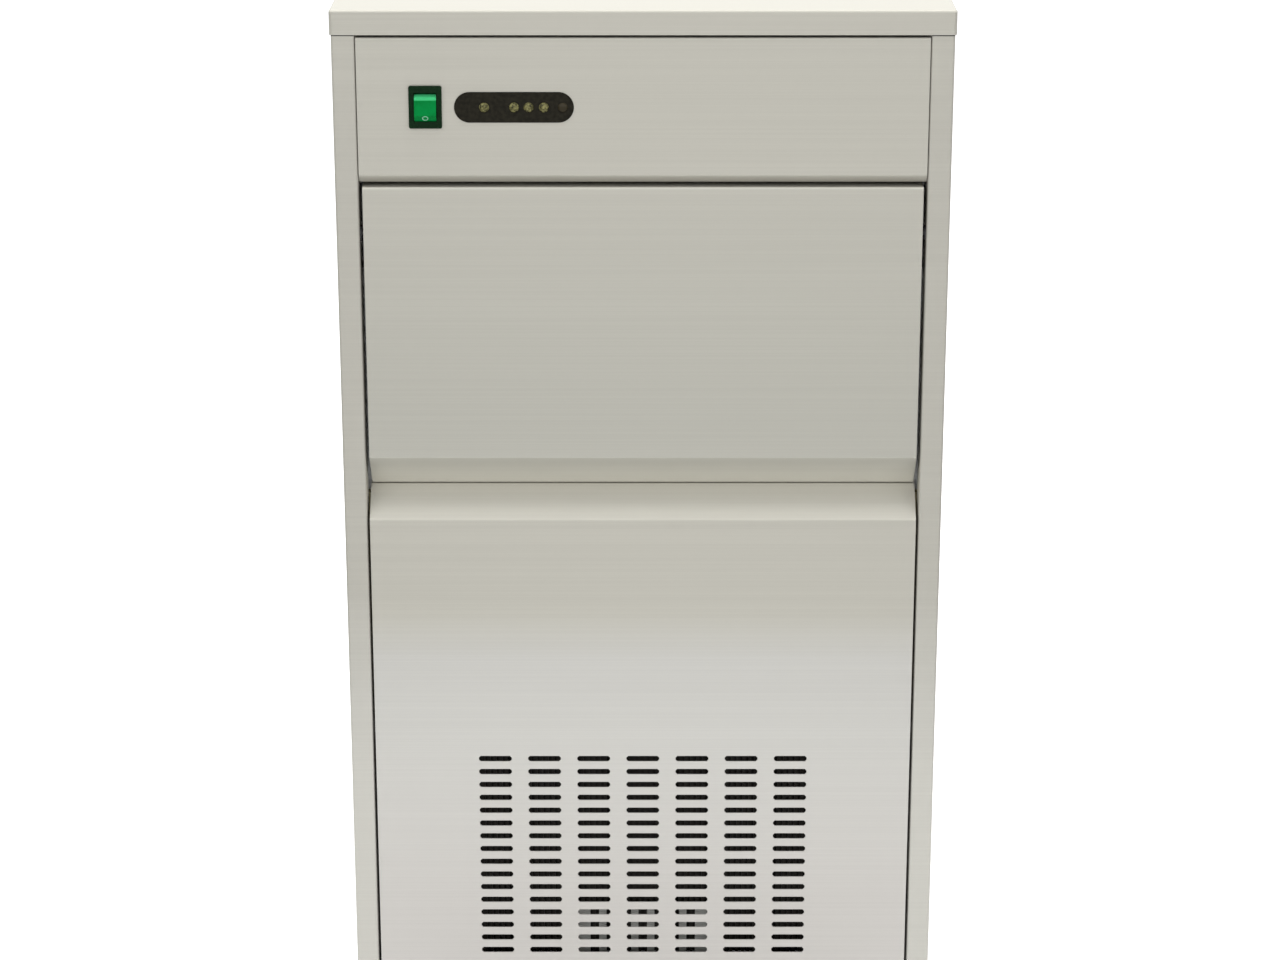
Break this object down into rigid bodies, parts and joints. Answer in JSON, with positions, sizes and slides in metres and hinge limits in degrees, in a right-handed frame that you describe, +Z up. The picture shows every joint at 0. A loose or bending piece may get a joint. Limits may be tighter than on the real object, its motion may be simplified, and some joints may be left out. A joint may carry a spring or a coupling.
{
  "type": "ice cube maker",
  "caption": "Freestanding ice cube maker: steel cabinet with flap door, insulated bin, tilting water tray under freezing fingers, cooling machinery below, adjustable feet.",
  "frame": {"origin": "on the floor, under the middle of the whole machine", "axes": "+X to the right as seen from the front, +Y to the back, +Z up"},
  "size_m": [0.5, 0.6078, 0.92],
  "materials": {
    "stainless": "brushed",
    "galvanised": "satin",
    "screw_steel": "satin",
    "white_plastic": "matte",
    "black_plastic": "matte",
    "grey_plastic": "matte",
    "rocker_green": "gloss",
    "window_black": "gloss",
    "lamp_plastic": "gloss",
    "board_green": "satin",
    "foam": "matte",
    "soft_grey": "matte",
    "rubber_black": "matte",
    "copper": "satin",
    "nickel": "gloss",
    "brass_part": "satin",
    "condenser_black": "matte",
    "compressor_black": "gloss",
    "motor_steel": "satin",
    "shroud_black": "matte",
    "fan_plastic": "satin",
    "blue_hose": "satin"
  },
  "bodies": {
    "cabinet": {"top_panel": "stainless", "left_side_panel": "stainless", "right_side_panel": "stainless", "back_panel": "galvanised", "control_panel": "stainless", "lower_front_panel": "stainless", "base_tray": "galvanised", "insulation_deck": "galvanised", "back_panel_screws": "screw_steel", "door_hinge_bushes": "black_plastic", "door_frame": "white_plastic", "chamber_hood": "white_plastic", "ice_bin": "white_plastic", "cabinet_foam": "foam", "evaporator_tube": "copper", "freezing_fingers": "nickel", "mechanism_frame": "stainless", "tray_bushes": "black_plastic", "tilt_motor": "motor_steel", "ice_chute": "white_plastic", "water_reservoir": "white_plastic", "water_pump": "black_plastic", "tray_fill_tube": "blue_hose", "float_stem": "grey_plastic", "ice_level_sensor": "copper", "supply_hose": "blue_hose", "water_inlet_valve": "black_plastic", "drain_pipe": "grey_plastic", "compressor": "compressor_black", "compressor_mounts": "rubber_black", "condenser": "condenser_black", "condenser_bracket": "galvanised", "fan_shroud": "shroud_black", "fan_motor": "motor_steel", "filter_drier": "copper", "discharge_pipe": "copper", "suction_line": "copper", "liquid_line": "copper", "cable_gland": "black_plastic", "control_box": "galvanised", "control_board": "board_green", "switch_body": "black_plastic", "indicator_window": "window_black", "indicator_lamps": "lamp_plastic", "foot_lock_nuts": "screw_steel"},
    "door": {"door_skin": "stainless", "door_foam": "foam", "door_liner": "white_plastic", "door_gasket": "soft_grey", "door_hinge_pins": "screw_steel"},
    "rocker": {"switch_rocker": "rocker_green"},
    "fan": {"fan_blades": "fan_plastic", "fan_shaft": "screw_steel"},
    "tray": {"water_tray": "grey_plastic", "tray_trunnions": "brass_part"},
    "float": {"float": "white_plastic"},
    "foot_front_left": {"foot_front_left": "black_plastic"},
    "foot_front_right": {"foot_front_right": "black_plastic"},
    "foot_rear_left": {"foot_rear_left": "black_plastic"},
    "foot_rear_right": {"foot_rear_right": "black_plastic"}
  },
  "joints": [
    {"name": "door_hinge", "type": "hinge", "parent": "cabinet", "child": "door", "pos_m": [0, -0.29066, 0.736], "axis": [-1, 0, 0], "range_deg": [0, 78]},
    {"name": "rocker_switch", "type": "hinge", "parent": "cabinet", "child": "rocker", "pos_m": [-0.1745, -0.29966, 0.8418], "axis": [-1, 0, 0], "range_deg": [0, 16.4]},
    {"name": "fan_spin", "type": "hinge", "parent": "cabinet", "child": "fan", "pos_m": [0, -0.20236, 0.1825], "axis": [0, 1, 0], "continuous": true},
    {"name": "water_tray_tilt", "type": "hinge", "parent": "cabinet", "child": "tray", "pos_m": [0, 0.10634, 0.796], "axis": [1, 0, 0], "range_deg": [0, 85]},
    {"name": "float_slide", "type": "slide", "parent": "cabinet", "child": "float", "axis": [0, 0, 1], "range_m": [0, 0.01]},
    {"name": "foot_front_left_height", "type": "slide", "parent": "cabinet", "child": "foot_front_left", "axis": [0, 0, -1], "range_m": [0, 0.015]},
    {"name": "foot_front_right_height", "type": "slide", "parent": "cabinet", "child": "foot_front_right", "axis": [0, 0, -1], "range_m": [0, 0.015]},
    {"name": "foot_rear_left_height", "type": "slide", "parent": "cabinet", "child": "foot_rear_left", "axis": [0, 0, -1], "range_m": [0, 0.015]},
    {"name": "foot_rear_right_height", "type": "slide", "parent": "cabinet", "child": "foot_rear_right", "axis": [0, 0, -1], "range_m": [0, 0.015]}
  ]
}
